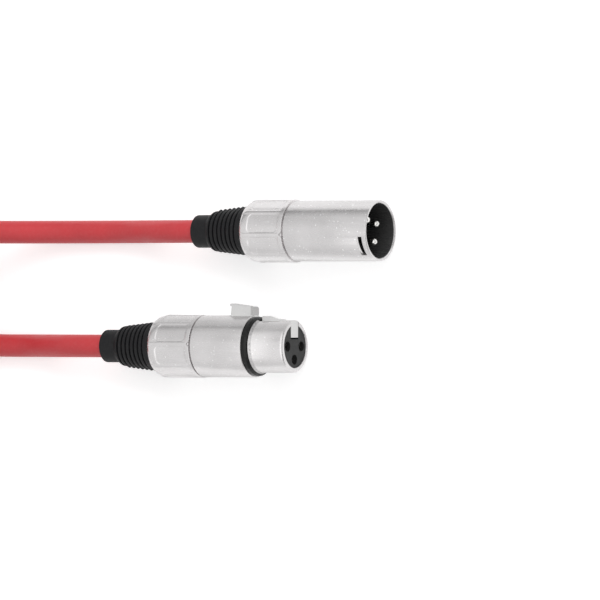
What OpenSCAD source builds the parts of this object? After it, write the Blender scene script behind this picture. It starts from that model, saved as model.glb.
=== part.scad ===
// Three-pin audio cable: a locking female plug, a male plug and the cord between them, wound
// into a coil.
// The two plugs lie side by side with their mating ends towards +X, and the part stands on z = 0.
// Each plug is drawn about its own Z axis, with its front at z = 0 and its rear towards -Z.

/* [Diameters, from the nose outwards] */
// Outside diameter of the female plug's nose
nose_d = 16; // [14:0.05:18]
// Wall of the nose
nose_wall = 1.5; // [1.3:0.05:1.6]
// Free space round the nose in the male socket
socket_gap = 0.25; // [0.15:0.05:0.4]
// Wall of the male shell round its socket
male_wall = 1; // [0.9:0.05:1.3]
// Wall of the male shell round the collar's spigot
thread_wall = 0.75; // [0.6:0.05:0.9]
// Wall of that spigot
spigot_wall = 1.3; // [1:0.1:1.5]
// Height of the collar's front band over the male shell
collar_rise = 0.35; // [0.1:0.05:0.8]
// How far the female shell lies below that band
female_step = 0.15; // [0.05:0.05:0.4]
// How far the gasket lies below the female shell
gasket_step = 0.3; // [0.1:0.05:0.5]
// How far the boot's front lies below the collar's front band
boot_step = 2.1; // [2:0.1:2.4]

/* [Layout] */
// Distance between the axes of the two plugs
lane_gap = 35; // [30:0.5:50]
// How far the front of the female plug lies behind the front of the male plug
stagger = 30; // [10:0.2:40]
// Turn of the male plug about its axis, which sets the side its latch window faces
male_turn = 123; // [0:1:359]

/* [Cord] */
// Diameter of the cord's jacket
cord_d = 7; // [6:0.1:7.5]
// Diameter of one insulated conductor
wire_d = 1.7; // [1.2:0.1:1.9]
// Distance of a conductor from the cord's axis where the jacket ends
wire_lay_r = 1.4; // [1.2:0.1:1.8]
// Least run of the conductors between the jacket's end and the solder cups
wire_run = 3.4; // [3:0.1:5]

/* [Coil] */
// Diameter of the coil at the middle of its turns
coil_mid_d = 70; // [70:1:84]
// Free space between neighbouring turns
coil_gap = 0.5; // [0.45:0.05:1]
// Loops of the coil, counting the open one
coil_loops = 6; // [4:1:8]
// Layers of the coil
coil_layers = 4; // [2:2:4]
// Width of the strap round the coil
strap_w = 16; // [10:1:20]
// Thickness of the strap
strap_t = 1.1; // [0.8:0.1:1.5]
// Free space between the strap and the turns
strap_gap = 0.3; // [0.2:0.1:0.6]
// Place of the strap on the coil, as an angle from +X
strap_angle = 135; // [100:5:220]

/* [Collar] */
// Length of the collar behind the seam
collar_len = 15.8; // [15:0.1:18]
// Length of its domed rear
dome_len = 3.2; // [2:0.1:4]
// How far the dome draws in
dome_drop = 1.3; // [0.8:0.1:1.5]
// Length of its plain front band
band_len = 1.6; // [1:0.1:3]
// Number of grip panels
panel_count = 8; // [6:1:10]
// Width of the rib between two panels
rib_w = 1.1; // [0.8:0.1:1.6]
// Depth of a panel below the ribs
panel_depth = 0.25; // [0.15:0.05:0.35]
// Corner radius of a panel
panel_corner = 1.4; // [0.6:0.1:2]
// Width and depth of the index notch at the seam
notch = 0.9; // [0.5:0.1:1.2]
// Length of the spigot
spigot_len = 4.4; // [3:0.1:5]

/* [Boot] */
// Length of the boot behind the collar
boot_len = 19.6; // [18:0.1:24]
// Diameter where the ribs start
boot_rib_d = 12.2; // [11.5:0.1:12.6]
// Diameter of the plain sleeve at the rear
boot_sleeve_d = 10; // [9.6:0.1:10.4]
// Length of that sleeve
boot_sleeve_len = 6.6; // [5:0.1:7.5]
// Number of grooves
groove_count = 7; // [4:1:7]
// Distance from one groove to the next
groove_pitch = 1.57; // [1.3:0.01:1.6]
// Width of a groove
groove_w = 0.55; // [0.4:0.05:0.8]
// Depth of a groove
groove_depth = 0.6; // [0.3:0.05:0.8]
// Length of the flange that snaps into the collar
boot_flange_len = 2.3; // [1.6:0.1:3]
// Height of that flange over the boot's front
boot_flange_rise = 0.6; // [0.4:0.05:0.8]
// Thickness of the collar's lip that holds the flange
lip_len = 1.2; // [0.8:0.1:1.6]
// Length of the boot's nose in front of the flange
boot_nose_len = 1.6; // [1:0.1:2.4]

/* [Strain relief chuck] */
// Greatest length of the chuck, which is shorter where the conductors need the room
chuck_len = 9; // [7:0.1:9.3]
// Width of its slots
chuck_slot_w = 1.2; // [0.8:0.1:1.6]
// Number of slots
chuck_slots = 4; // [3:1:6]
// Length of the chuck's front that the slots leave whole
chuck_head_len = 2.5; // [1.5:0.1:4]

/* [Contacts] */
// Diameter of a male pin
pin_d = 2.4; // [2.3:0.05:2.5]
// How much thicker its root in the insert is, on the radius
pin_root_rise = 0.5; // [0.4:0.05:0.7]
// Bore of a female contact
socket_bore_d = 2.5; // [2.4:0.05:2.7]
// Depth of that bore
socket_bore_len = 12; // [9:0.5:14]
// Outside diameter of a female contact
socket_d = 3.4; // [3.2:0.1:3.6]
// Diameter of the opening in the female face
face_hole_d = 3.1; // [2.8:0.1:3.3]
// Diameter of a contact's stop flange
stop_d = 3.9; // [3.8:0.1:4.2]
// Thickness of that flange
stop_t = 0.8; // [0.6:0.1:1]
// Outside diameter of a solder cup
cup_d = 3; // [2.8:0.1:3.2]
// Bore of a solder cup
cup_bore_d = 2.1; // [2:0.05:2.3]
// Length of a solder cup
cup_len = 4; // [3:0.1:4.5]

/* [Male plug] */
// Length of the male shell in front of the seam
male_shell_len = 29.2; // [28.5:0.1:32]
// Depth of the male socket
socket_depth = 13.5; // [12.5:0.1:14]
// Lead-in at the mouth of the socket
mouth_chamfer = 0.4; // [0.2:0.05:0.5]
// How far the pin tips lie behind the mouth
pin_recess = 2.6; // [2:0.1:4]
// Distance of the latch window from the mouth
window_back = 1.5; // [1.2:0.1:2]
// Width of the window along the axis
window_w = 1.8; // [1.2:0.1:2.5]
// Angle that the window takes up
window_arc = 42; // [34:1:60]

/* [Female plug] */
// Length of the female shell from the seam to its shoulder
female_shell_len = 18; // [17.5:0.1:21]
// Length of the nose from the shoulder to the tip
nose_len = 14; // [13.5:0.1:15]
// Rounding of the nose's edge
nose_edge = 0.9; // [0.4:0.1:0.9]
// How far the black face lies behind the tip
face_recess = 0.35; // [0.2:0.05:0.6]
// Length of the gasket on the nose
gasket_len = 2; // [1.5:0.1:2.4]
// How far the gasket tapers at its front
gasket_taper = 0.5; // [0.2:0.1:0.7]
// Height of the bead that keeps the gasket on
bead_rise = 0.35; // [0.2:0.05:0.4]

/* [Insert] */
// Length of an insert's body in front of its flange
insert_body_len = 3; // [2.5:0.1:4]
// Length of the flange that seats on the shell's ledge
insert_flange_len = 5; // [4.6:0.1:5.5]
// Running clearance of the pieces in each other, on the radius
fit_gap = 0.05; // [0.02:0.01:0.08]

/* [Latch] */
// Width of the lever
latch_w = 4.2; // [3.6:0.1:4.4]
// Free space on each side of the lever
latch_side_gap = 0.15; // [0.1:0.05:0.25]
// Distance of the hinge behind the tip
hinge_back = 1.9; // [1.8:0.1:2.2]
// How far the hinge lies below the nose's outside
hinge_sink = 3.4; // [3.2:0.1:3.6]
// Diameter of the hinge pin
hinge_d = 1.2; // [1:0.05:1.3]
// Length of the hinge pin
hinge_len = 7; // [6.4:0.1:7.4]
// Distance of the hook's rear face behind the tip
hook_back = 10.5; // [10.2:0.1:10.8]
// Height of the hook over the nose
hook_rise = 1.27; // [1:0.01:1.35]
// Length of the hook's slope
hook_len = 3.4; // [2.5:0.1:4]
// Height of the low step in front of the hook
step_rise = 0.35; // [0.2:0.05:0.45]
// Length of that step
step_len = 2.7; // [2:0.1:3]
// Length of the thumb tab
tab_len = 7.8; // [7:0.1:8.4]
// Height of the tab over the shell at its front
tab_front_rise = 2.7; // [2:0.1:3]
// Height of the tab over the shell at its rear
tab_rear_rise = 3.6; // [3.1:0.1:3.8]
// Number of teeth on the tab
tooth_count = 5; // [3:1:7]
// Depth of the teeth
tooth_depth = 0.25; // [0.1:0.05:0.4]
// Wire of the latch spring
spring_wire_d = 0.4; // [0.3:0.05:0.45]
// Outside diameter of the latch spring
spring_d = 2.8; // [2.4:0.1:3]
// Coils of the latch spring
spring_coils = 4; // [3:0.5:5]

/* [Hidden] */
$fn = 64;

past = 1;          // how far a cutting shape runs past a face
arc_steps = 6;     // chords of a rounded edge in a profile
slip = 0.1;        // free space between faces that seat on each other along the axis

male_bore_d = nose_d + 2 * socket_gap;
male_shell_d = male_bore_d + 2 * male_wall;
spigot_d = male_shell_d - 2 * thread_wall;
collar_bore_d = spigot_d - 2 * spigot_wall;
collar_d = male_shell_d + 2 * collar_rise;
female_shell_d = collar_d - 2 * female_step;
gasket_d = female_shell_d - 2 * gasket_step;
nose_bore_d = nose_d - 2 * nose_wall;
boot_front_d = collar_d - 2 * boot_step;
contact_pcd = nose_d / 2;

// The plug's axis lies as high as half its widest piece.
axis_height = collar_d / 2;
shell_rear_r = spigot_d / 2 + fit_gap;
rear_len = collar_len + boot_len;
male_len = male_shell_len + rear_len;
female_len = nose_len + female_shell_len + rear_len;
male_front_x = (max(male_len, female_len + stagger)) / 2;
female_front_x = male_front_x - stagger;
male_y = lane_gap / 2;
female_y = -lane_gap / 2;

// Turn of each collar's index rib about its plug's axis
male_collar_turn = 64.5;
female_collar_turn = 175.7;

// Inserts: the body stands in the front bore, the flange in the wider rear bore.
male_ledge = -(socket_depth + insert_body_len);
female_ledge = -(nose_len + insert_body_len);
male_insert_rear = male_ledge - insert_flange_len;
female_insert_rear = female_ledge - insert_flange_len;
pin_root_r = pin_d / 2 + pin_root_rise;
contact_recess = 1.1;            // how far the female contacts lie behind the black face
contact_angles = [180, 0, 270];  // contacts 1 and 2 either side of the window or latch, 3 opposite it

// Rear pieces, measured from the seam
lip_front = -collar_len + lip_len;
boot_flange_front = lip_front + boot_flange_len;
boot_flange_r = boot_front_d / 2 + boot_flange_rise;
boot_nose_front = boot_flange_front + boot_nose_len;
bore_r = collar_bore_d / 2;
jacket_r = cord_d / 2;
chuck_rear = boot_nose_front + slip;
jacket_show = 0.9;               // how far the jacket runs on in front of the chuck
boot_rear = -rear_len;
cup_rear = slip + stop_t + cup_len;   // how far behind its insert a solder cup ends
male_cups = male_shell_len + male_insert_rear - cup_rear;
female_cups = nose_len + female_shell_len + female_insert_rear - cup_rear;

// Latch, in the plane of the plug's axis and the tab: [along the axis, up]
hinge_up = nose_d / 2 - hinge_sink;
slot_w = latch_w + 2 * latch_side_gap;
tab_w = latch_w - 0.3;
arm_sink = 0.5;      // how far the arm lies below the nose's outside
arm_t = 1.9;
block_rim = 1.9;     // wall of the lever's front block round the hinge, measured from its middle
channel_gap = 0.5;   // free space under the front block
swing_gap = 0.6;     // free space behind the tab
toe_len = 1.5;
toe_gap = 0.2;       // free space between the toe and the shell that holds it down
arm_top = nose_d / 2 - arm_sink;
arm_bottom = arm_top - arm_t;
block_bottom = hinge_up - block_rim;
block_rear = -(hinge_back + block_rim);
channel_floor = block_bottom - channel_gap;
female_r = female_shell_d / 2;
tab_rear = -(nose_len + tab_len);
slot_rear = tab_rear - swing_gap;
toe_rear = slot_rear - toe_len;
toe_top = sqrt(pow(shell_rear_r, 2) - pow(latch_w / 2, 2)) - toe_gap;
spring_place = -(nose_len + tab_len / 2);
spring_seat = 0.5;   // height of the spring's seat over the plug's axis
spring_pocket_r = spring_d / 2 + 0.2;
spring_points = 8;   // points of the spring's path in one coil

// Coil: the cord winds clockwise, in along the first layer, out along the next, and so on.
coil_x = -146;
coil_open = 48;    // half the angle between the coil's two ends
coil_sides = 6;
coil_rings = 24;   // rings in one loop
turn_pitch = cord_d + coil_gap;
coil_angle = 360 * coil_loops - 2 * coil_open;
layer_angle = coil_angle / coil_layers;
layer_spread = turn_pitch * layer_angle / 360;
coil_out_r = (coil_mid_d + layer_spread) / 2;
coil_in_r = coil_out_r - layer_spread;
climb_angle = 180; // the half turn in which the cord climbs a layer
strap_lift = strap_t + strap_gap;
lift_full = 16;    // half the angle over which the turns lie on the strap
lift_end = 50;     // half the angle where they are back on the floor

// Routes of the two free stretches, from each plug to the coil: down to the floor behind the boot, and
// at the male plug up to the coil's top layer. The first point is the boot's rear face and the last is
// the coil's end.
lead_sides = 10;
female_route = [
    [-54.7, female_y, axis_height], [-62.7, female_y, 8.9], [-70.7, female_y, 6.6], [-78.7, female_y, 4.3],
    [-86.7, female_y, jacket_r], [-95.5, female_y, jacket_r], [-101.5, female_y - 0.9, jacket_r],
    [-108, female_y - 3.5, jacket_r]
];
male_route = [
    [-20.3, male_y, axis_height], [-27.3, male_y, 8.9], [-35.3, male_y, 6.4], [-43.3, male_y, 4.2],
    [-50.3, male_y, jacket_r], [-59.3, male_y, jacket_r], [-66.5, male_y, 4], [-73.5, male_y, 5.7],
    [-80.5, male_y, 8.9], [-88, male_y, 14.5], [-94.5, male_y, 19.7], [-101.5, male_y + 0.9, 23.3],
    [-108, male_y + 3.5, 25.4]
];

// ---- points and profiles ----

function unit(v) = v / norm(v);

// A ring of n points about p, square to the direction t, its first point lowest.
function ring(p, t, r, n) =
    let (side = unit(cross([0, 0, 1], t)), up = cross(t, side))
    [for (i = [0 : n - 1]) let (a = 360 * i / n - 90) p + r * (cos(a) * side + sin(a) * up)];

// Direction of a path at its point i; the ends take the given directions.
function heading(path, i, first, last) =
    i == 0 ? first : i == len(path) - 1 ? last : unit(path[i + 1] - path[i - 1]);

// Quarter ellipse in a profile, centred at c, from angle a to a + 90.
function quarter(c, rx, ry, a) =
    [for (i = [0 : arc_steps]) let (b = a + 90 * i / arc_steps) c + [rx * cos(b), ry * sin(b)]];

function ramp(t) = t <= 0 ? 0 : t >= 1 ? 1 : (1 - cos(180 * t)) / 2;

// Place of the coil's centreline after it has wound through the angle u.
function coil_point(u) =
    let (
        q = u / layer_angle,
        k = min(floor(q), coil_layers - 1),
        share = k % 2 == 0 ? q - k : 1 - (q - k),
        r = coil_out_r - layer_spread * share,
        layer = vsum([for (j = [1 : coil_layers - 1])
            ramp((u - j * layer_angle) / climb_angle + 0.5)]),
        a = -coil_open - u,
        off = abs(((a - strap_angle) % 360 + 540) % 360 - 180),
        lift = strap_lift * ramp((lift_end - off) / (lift_end - lift_full))
    )
    [coil_x + r * cos(a), r * sin(a), jacket_r + turn_pitch * layer + lift];

function vsum(v, i = 0) = i < len(v) ? v[i] + vsum(v, i + 1) : 0;

coil_steps = round(coil_angle * coil_rings / 360);
coil_turned = [for (i = [0 : coil_steps]) coil_point(coil_angle * i / coil_steps)];
coil_start_way = [-sin(coil_open), -cos(coil_open), 0];
coil_end_way = [sin(coil_open), -cos(coil_open), 0];
coil_start = coil_turned[0] - cord_d * coil_start_way;
coil_end = coil_turned[coil_steps] + cord_d * coil_end_way;

// Least distance between turns: points nearer along the cord than half a loop don't count.
coil_least_gap = min([for (i = [0 : coil_steps], j = [i + coil_rings / 2 : 1 : coil_steps])
    norm(coil_turned[i] - coil_turned[j])]) - cord_d;
echo(coil_least_gap = coil_least_gap);

// ---- shared shapes ----

// Closed tube of triangles along a path.
module tube(path, r, n, first, last) {
    count = len(path);
    points = [for (i = [0 : count - 1]) each ring(path[i], heading(path, i, first, last), r, n)];
    walls = [for (k = [0 : count - 2], i = [0 : n - 1])
        let (a = k * n + i, b = k * n + (i + 1) % n, c = b + n, d = a + n)
        each [[a, d, c], [a, c, b]]];
    front = [for (i = [1 : n - 2]) [0, i, i + 1]];
    e = (count - 1) * n;
    back = [for (i = [1 : n - 2]) [e, e + i + 1, e + i]];
    polyhedron(points = points, faces = concat(walls, front, back));
}

// Lays a plug down: its axis along +X, its latch or window side turned from +Y towards +Z.
module lay(x, y, turn = 0) {
    translate([x, y, axis_height]) rotate([turn, 0, 0]) rotate([0, 90, 0]) children();
}
module lay_male() { lay(male_front_x, male_y, male_turn) children(); }
module lay_female() { lay(female_front_x, female_y) children(); }
module at_male_seam() { lay_male() translate([0, 0, -male_shell_len]) children(); }
module at_female_seam() { lay_female() translate([0, 0, -(nose_len + female_shell_len)]) children(); }

// Rectangle with rounded corners, centred across X, from y = 0 to y = l.
module rounded_plate(w, l, r) {
    translate([-w / 2 + r, 0]) square([w - 2 * r, l]);
    translate([-w / 2, r]) square([w, l - 2 * r]);
    for (x = [-1, 1], y = [r, l - r]) translate([x * (w / 2 - r), y]) circle(r);
}

module at_contact(number) {
    rotate([0, 0, contact_angles[number - 1]]) translate([contact_pcd / 2, 0, 0]) children();
}

// Extrudes a side view, drawn as [along the axis, up], across the plug.
module across(w) { rotate([0, -90, 0]) linear_extrude(height = w, center = true) children(); }

// ---- pieces behind the seam, the same in both plugs ----

// Outline of the collar's outside, raised by the given height.
function collar_outline(rise) =
    let (
        r = collar_d / 2 - panel_depth / 2 + rise,
        dome = quarter([r - dome_drop, dome_len - collar_len], dome_drop, -dome_len, 0)
    )
    concat([[0, -band_len], [r, -band_len]], dome, [[0, -collar_len]]);

module collar(turn) {
    panel_w = 2 * (collar_d / 2) * sin(180 / panel_count) - rib_w;
    panel_front = band_len + 0.3;
    notch_depth = 2 * panel_depth + 0.4;
    panel_len = collar_len - dome_len - panel_front;
    color("silver") difference() {
        union() {
            rotate_extrude() polygon(collar_outline(0));
            translate([0, 0, -band_len]) cylinder(h = band_len, r = collar_d / 2);
            cylinder(h = spigot_len, r = spigot_d / 2);
            intersection() {
                rotate_extrude() polygon(collar_outline(panel_depth / 2));
                for (i = [0 : panel_count - 1])
                    rotate([0, 0, turn + i * 360 / panel_count])
                        translate([0, -rib_w / 2, -collar_len]) cube([collar_d, rib_w, collar_len]);
            }
        }
        for (i = [0 : panel_count - 1])
            rotate([0, 0, turn + (i + 0.5) * 360 / panel_count]) intersection() {
                rotate([0, 90, 0]) rotate([0, 0, 90]) translate([0, panel_front, 0])
                    linear_extrude(height = collar_d) rounded_plate(panel_w, panel_len, panel_corner);
                difference() {
                    translate([0, 0, -collar_len]) cylinder(h = collar_len, r = collar_d);
                    translate([0, 0, -collar_len - past])
                        cylinder(h = collar_len + 2 * past, r = collar_d / 2 - panel_depth);
                }
            }
        rotate([0, 0, turn]) translate([collar_d / 2, 0, 0]) rotate([0, -90, 0])
            linear_extrude(height = notch_depth, center = true)
                polygon([[-notch, 0], [past, -notch], [past, notch]]);
        translate([0, 0, boot_flange_front]) cylinder(h = collar_len + spigot_len, r = bore_r);
        translate([0, 0, lip_front - slip / 2])
            cylinder(h = boot_flange_len + slip, r = boot_flange_r + fit_gap);
        translate([0, 0, -collar_len - past])
            cylinder(h = collar_len, r = boot_front_d / 2 + fit_gap);
    }
}

// Radius of the boot's outside at the distance s in front of its rear end
function boot_r(s) = (boot_rib_d + (boot_front_d - boot_rib_d)
    * (s - boot_sleeve_len) / (boot_len - boot_sleeve_len)) / 2;

module boot() {
    edge = 0.3;
    sleeve_r = boot_sleeve_d / 2;
    first_groove = boot_sleeve_len + 0.5;
    grooves = [for (i = [0 : groove_count - 1]) let (s = first_groove + i * groove_pitch) each [
        [boot_r(s), s], [boot_r(s) - groove_depth, s + groove_w * 0.2],
        [boot_r(s) - groove_depth, s + groove_w * 0.8], [boot_r(s + groove_w), s + groove_w]
    ]];
    nose_front = boot_nose_front - boot_rear;
    flange_front = boot_flange_front - boot_rear;
    flange_rear = lip_front - boot_rear;
    outline = concat(
        [[jacket_r + fit_gap, 0], [sleeve_r - edge, 0], [sleeve_r, edge],
         [sleeve_r, boot_sleeve_len - edge], [sleeve_r + edge, boot_sleeve_len],
         [boot_r(boot_sleeve_len), boot_sleeve_len]],
        grooves,
        [[boot_front_d / 2, boot_len], [boot_front_d / 2, flange_rear], [boot_flange_r, flange_rear],
         [boot_flange_r, flange_front], [bore_r - fit_gap, flange_front], [bore_r - fit_gap, nose_front],
         [jacket_r + fit_gap, nose_front]]);
    color("dimgray") translate([0, 0, boot_rear]) rotate_extrude() polygon(outline);
}

// Where the jacket ends, in front of a chuck of full length or short of it. The cups' rear is at z = cups.
function jacket_front(cups) = min(chuck_rear + chuck_len + jacket_show, cups - wire_run);

module chuck(cups) {
    outer = bore_r - fit_gap;
    cone = 1.2;
    len = jacket_front(cups) - jacket_show - chuck_rear;
    color("ivory") translate([0, 0, chuck_rear]) difference() {
        rotate_extrude() polygon([
            [jacket_r + fit_gap, 0], [outer - cone, 0], [outer, 2 * cone], [outer, len],
            [jacket_r + fit_gap, len]
        ]);
        for (i = [0 : chuck_slots - 1]) rotate([0, 0, i * 360 / chuck_slots])
            translate([0, -chuck_slot_w / 2, -past])
                cube([collar_d, chuck_slot_w, len - chuck_head_len + past]);
    }
}

module cable_end(cups) {
    color("firebrick") translate([0, 0, boot_rear])
        cylinder(h = jacket_front(cups) - boot_rear, r = jacket_r);
}

// The three conductors, from the jacket's end into the solder cups
module wires(cups) {
    shades = ["white", "dodgerblue", "khaki"];
    for (n = [0 : 2]) {
        a = contact_angles[n];
        way = [cos(a), sin(a), 0];
        near = wire_lay_r * way;
        far = contact_pcd / 2 * way;
        start = jacket_front(cups);
        span = cups - start;
        straight = unit([0, 0, 1] + 0.001 * way);
        color(shades[n]) tube([
            near + [0, 0, start], near + [0, 0, start + 0.1 * span],
            near + 0.3 * (far - near) + [0, 0, start + 0.4 * span],
            near + 0.7 * (far - near) + [0, 0, start + 0.6 * span],
            far + [0, 0, cups - 0.1 * span], far + [0, 0, cups + cup_len / 2]
        ], wire_d / 2, 8, straight, straight);
    }
}

// ---- contacts ----

// Stop flange and solder cup behind an insert whose rear face is at z = rear
module contact_tail(rear) {
    cup_floor = 0.5;
    cup_cut_len = cup_len * 0.55;   // the part of the cup that is open on one side
    translate([0, 0, rear - slip - stop_t]) cylinder(h = stop_t, r = stop_d / 2);
    translate([0, 0, rear - slip - stop_t - cup_len]) difference() {
        cylinder(h = cup_len, r = cup_d / 2);
        translate([0, 0, -past]) cylinder(h = cup_len - cup_floor + past, r = cup_bore_d / 2);
        translate([0, -cup_d, -past]) cube([2 * cup_d, 2 * cup_d, cup_cut_len + past]);
    }
}

module male_contact(number) {
    color("gainsboro") lay_male() at_contact(number) {
        translate([0, 0, male_insert_rear - slip])
            cylinder(h = -socket_depth - male_insert_rear + slip, r = pin_root_r);
        translate([0, 0, -socket_depth])
            cylinder(h = socket_depth - pin_recess - pin_d / 2, r = pin_d / 2);
        translate([0, 0, -pin_recess - pin_d / 2]) sphere(r = pin_d / 2);
        contact_tail(male_insert_rear);
    }
}

module female_contact(number) {
    front = -face_recess - contact_recess;
    color("gainsboro") lay_female() at_contact(number) {
        difference() {
            translate([0, 0, female_insert_rear - slip])
                cylinder(h = front - female_insert_rear + slip, r = socket_d / 2);
            translate([0, 0, front - socket_bore_len])
                cylinder(h = socket_bore_len + past, r = socket_bore_d / 2);
        }
        contact_tail(female_insert_rear);
    }
}

// ---- male plug ----

module male_shell() {
    r = male_shell_d / 2;
    bore = male_bore_d / 2;
    edge = 0.2;
    color("silver") lay_male() difference() {
        rotate_extrude() polygon([
            [bore, -mouth_chamfer], [bore + mouth_chamfer, 0], [r - edge, 0], [r, -edge],
            [r, edge - male_shell_len], [r - edge, -male_shell_len], [shell_rear_r, -male_shell_len],
            [shell_rear_r, male_ledge], [bore, male_ledge]
        ]);
        rotate([0, 0, 90 - window_arc / 2]) rotate_extrude(angle = window_arc)
            translate([bore - past, -window_back - window_w]) square([r - bore + 2 * past, window_w]);
    }
}

module male_insert() {
    color("dimgray") lay_male() difference() {
        union() {
            translate([0, 0, male_insert_rear])
                cylinder(h = insert_flange_len - slip, r = spigot_d / 2);
            translate([0, 0, male_insert_rear])
                cylinder(h = insert_flange_len + insert_body_len, r = male_bore_d / 2 - fit_gap);
        }
        for (n = [1 : 3]) at_contact(n)
            translate([0, 0, male_insert_rear - past])
                cylinder(h = insert_flange_len + insert_body_len + 2 * past, r = pin_root_r + fit_gap);
    }
}

// ---- female plug ----

module female_shell() {
    r = female_r;
    nose_r = nose_d / 2;
    bore = nose_bore_d / 2;
    edge = 0.2;
    tip = quarter([nose_r - nose_edge, -nose_edge], nose_edge, nose_edge, 0);
    bead_rear = gasket_len - nose_len;
    bead_front = bead_rear + 0.8;
    color("silver") lay_female() difference() {
        rotate_extrude() polygon(concat(
            [[bore, -edge], [bore + edge, 0]],
            [for (i = [0 : arc_steps]) tip[arc_steps - i]],
            [[nose_r, bead_front], [nose_r + bead_rise, bead_rear],
             [nose_r, bead_rear], [nose_r, -nose_len], [r - edge, -nose_len], [r, -nose_len - edge],
             [r, edge - nose_len - female_shell_len], [r - edge, -nose_len - female_shell_len],
             [shell_rear_r, -nose_len - female_shell_len], [shell_rear_r, female_ledge],
             [bore, female_ledge]]));
        translate([-slot_w / 2, 0, slot_rear]) cube([slot_w, r + past, past - slot_rear]);
    }
}

module female_gasket() {
    inner = nose_d / 2 + fit_gap;
    outer = gasket_d / 2;
    front = gasket_len - nose_len - slip;
    taper_rear = front - 0.9;
    color("dimgray") lay_female() rotate_extrude() polygon([
        [inner, -nose_len], [outer, -nose_len], [outer, taper_rear], [outer - gasket_taper, front],
        [inner, front]
    ]);
}

module female_insert() {
    color("dimgray") lay_female() difference() {
        union() {
            translate([0, 0, female_insert_rear])
                cylinder(h = insert_flange_len - slip, r = spigot_d / 2);
            translate([0, 0, female_insert_rear])
                cylinder(h = -face_recess - female_insert_rear, r = nose_bore_d / 2 - fit_gap);
        }
        for (n = [1 : 3]) at_contact(n) {
            translate([0, 0, female_insert_rear - past])
                cylinder(h = past + slip - contact_recess - face_recess - female_insert_rear,
                    r = socket_d / 2 + fit_gap);
            translate([0, 0, female_insert_rear])
                cylinder(h = past - female_insert_rear, r = face_hole_d / 2);
        }
        translate([-slot_w / 2, channel_floor, female_insert_rear - past])
            cube([slot_w, spigot_d, 2 * past - female_insert_rear]);
        translate([0, hinge_up, -hinge_back]) rotate([0, 90, 0])
            cylinder(h = nose_d, r = hinge_d / 2 + fit_gap / 2, center = true);
        translate([0, spring_seat, spring_place]) rotate([-90, 0, 0])
            cylinder(h = nose_d, r = spring_pocket_r);
    }
}

// Side view of the lever's low parts: hinge block, arm and the toe that the shell holds down
module lever_low_view() {
    nose_r = nose_d / 2;
    polygon([
        [-face_recess, block_bottom], [-face_recess, nose_r], [-hook_back, nose_r],
        [-hook_back, arm_top],
        [tab_rear, arm_top], [tab_rear, toe_top], [toe_rear, toe_top], [toe_rear, arm_bottom],
        [block_rear, arm_bottom], [block_rear, block_bottom]
    ]);
}

// Side view of the hook and of the low step in front of it
module lever_hook_view() {
    nose_r = nose_d / 2;
    hook_front = hook_len - hook_back;
    flat = 0.6;
    slope = 0.5;
    step_front = hook_front + step_len;
    polygon([
        [-hook_back, arm_top], [-hook_back, nose_r + hook_rise],
        [flat - hook_back, nose_r + hook_rise], [hook_front, nose_r + step_rise],
        [step_front - slope, nose_r + step_rise], [step_front, nose_r - slip], [step_front, arm_top]
    ]);
}

// Side view of the thumb tab, with its slanting toothed top and its overhanging lip
module lever_tab_view() {
    front = -nose_len - slip;
    front_top = female_r + tab_front_rise;
    rear_top = female_r + tab_rear_rise;
    lip = 0.45;          // radius of the overhanging lip
    lean = 0.4;
    bevel = 0.5;
    first = tab_rear + 0.9;
    pitch = (front - 1.2 - first) / tooth_count;
    face = 0.15;         // share of a tooth's pitch taken by its steep face
    rise = (front_top - rear_top) / (front - tab_rear);
    function top(x) = rear_top + rise * (x - tab_rear);
    teeth = [for (i = [0 : tooth_count - 1]) let (x = first + i * pitch)
        each [[x, top(x)], [x + face * pitch, top(x) - tooth_depth]]];
    polygon(concat(
        [[tab_rear, arm_bottom], [tab_rear, female_r], [tab_rear + lean, rear_top - lip],
         [tab_rear + lean / 2, rear_top]],
        teeth,
        [[front - bevel, top(front)], [front, top(front) - bevel], [front, arm_bottom]]));
    translate([tab_rear + lip / 3, rear_top - lip]) circle(lip);
}

module latch_lever() {
    color("gainsboro") lay_female() difference() {
        union() {
            intersection() {
                across(latch_w) lever_low_view();
                translate([0, 0, toe_rear - past])
                    cylinder(h = 2 * past - toe_rear, r = shell_rear_r);
            }
            across(latch_w) lever_hook_view();
            across(tab_w) lever_tab_view();
        }
        translate([0, hinge_up, -hinge_back]) rotate([0, 90, 0])
            cylinder(h = 2 * latch_w, r = hinge_d / 2 + fit_gap, center = true);
        translate([0, 0, -hook_back + hook_len + step_len]) difference() {
            cylinder(h = hook_back, r = nose_d);
            translate([0, 0, -past]) cylinder(h = hook_back + 2 * past, r = nose_d / 2);
        }
    }
}

module latch_pin() {
    color("gray") lay_female() translate([0, hinge_up, -hinge_back]) rotate([0, 90, 0])
        cylinder(h = hinge_len, r = hinge_d / 2, center = true);
}

module latch_spring() {
    r = (spring_d - spring_wire_d) / 2;
    wire_r = spring_wire_d / 2;
    low = spring_seat + wire_r + slip / 2;
    high = arm_bottom - wire_r - slip / 2;
    count = round(spring_points * spring_coils);
    turn = 360 / spring_points;
    path = [for (i = [0 : count]) let (a = turn * i)
        [r * cos(a), r * sin(a), low + (high - low) * ramp(i / count)]];
    color("lightgray") lay_female() translate([0, 0, spring_place]) rotate([-90, 0, 0])
        tube(path, wire_r, 6, [0, 1, 0], [-sin(turn * count), cos(turn * count), 0]);
}

// ---- cord ----

module female_lead() {
    start = [female_front_x - female_len, female_y, axis_height];
    color("firebrick") tube(concat([start], female_route, [coil_start]), jacket_r, lead_sides,
        [-1, 0, 0], coil_start_way);
}

module male_lead() {
    start = [male_front_x - male_len, male_y, axis_height];
    color("firebrick") tube(concat([start], male_route, [coil_end]), jacket_r, lead_sides,
        [-1, 0, 0], -coil_end_way);
}

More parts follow.
